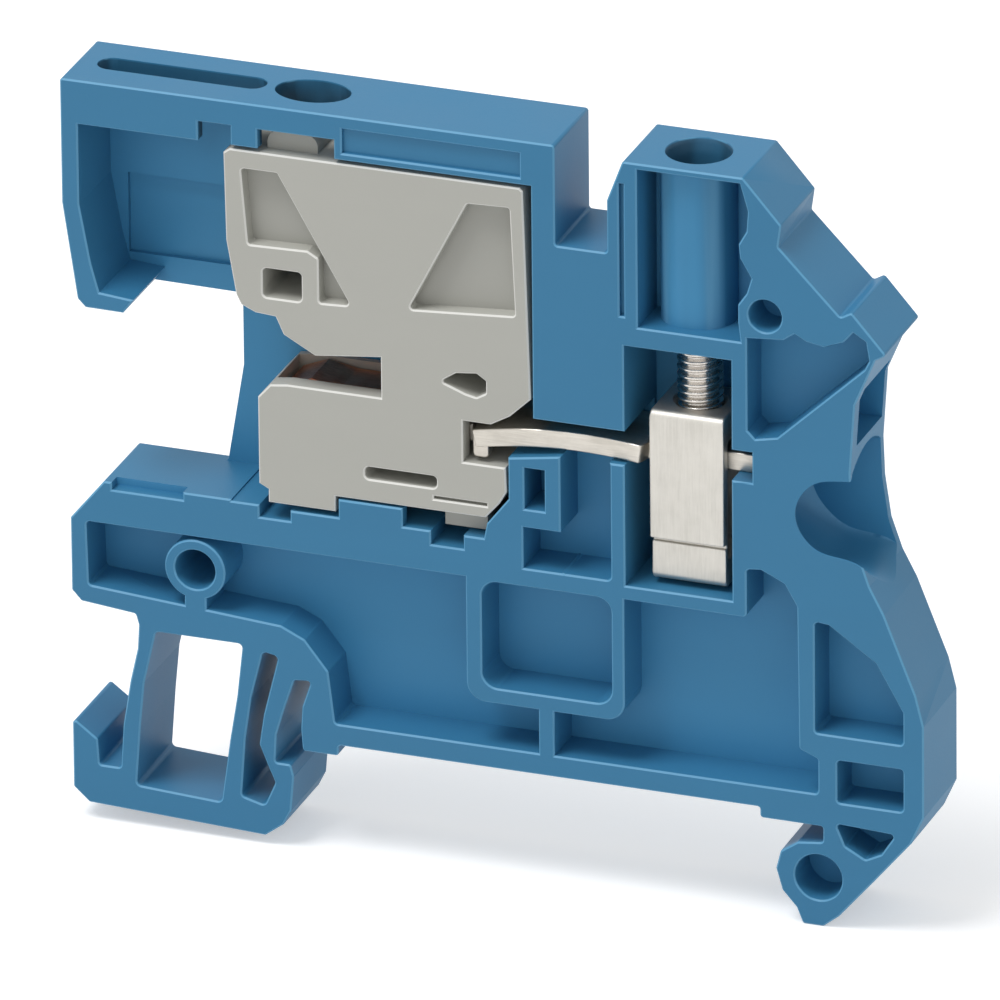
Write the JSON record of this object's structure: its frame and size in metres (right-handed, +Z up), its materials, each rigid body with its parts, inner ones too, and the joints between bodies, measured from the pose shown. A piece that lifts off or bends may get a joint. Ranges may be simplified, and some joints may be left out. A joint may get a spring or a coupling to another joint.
{
  "type": "neutral disconnect terminal block",
  "caption": "Slim rail-mounted terminal block with a sliding neutral disconnect contact, a screw clamp for one wire and a sprung rail foot.",
  "frame": {"origin": "on the rail's seat plane, above the middle of the 35 mm rail, half way through the thickness", "axes": "+X along the length towards the wire entry, +Y through the thickness away from the open side, +Z up from the rail"},
  "size_m": [0.0547, 0.0062, 0.0487],
  "materials": {
    "blue_plastic": "blue moulded polyamide, satin",
    "grey_plastic": "light grey moulded plastic, satin",
    "copper_contact": "rolled copper alloy",
    "spring_steel": "rolled spring steel",
    "plated_bar": "tin-plated copper, satin",
    "plated_sleeve": "nickel-plated folded steel",
    "plated_screw": "zinc-plated steel"
  },
  "bodies": {
    "block": {"housing": "blue_plastic", "current_bar": "plated_bar"},
    "slider": {"disconnect_slider": "grey_plastic", "contact_fork": "copper_contact", "fork_spring": "spring_steel"},
    "screw": {"clamp_screw": "plated_screw"},
    "sleeve": {"clamp_sleeve": "plated_sleeve"}
  },
  "joints": [
    {"name": "slider_travel", "type": "slide", "parent": "block", "child": "slider", "axis": [-1, 0, 0], "range_m": [0, 0.0052]},
    {"name": "screw_turn", "type": "hinge", "parent": "block", "child": "screw", "pos_m": [0.00886, 0, 0.03], "axis": [0, 0, -1], "range_deg": [0, 2520]},
    {"name": "sleeve_lift", "type": "slide", "parent": "block", "child": "sleeve", "axis": [0, 0, 1], "range_m": [0, 0.0035]}
  ],
  "couplings": [
    {"joint": "screw_turn", "follows": "sleeve_lift", "rad_per_m": 12566}
  ]
}
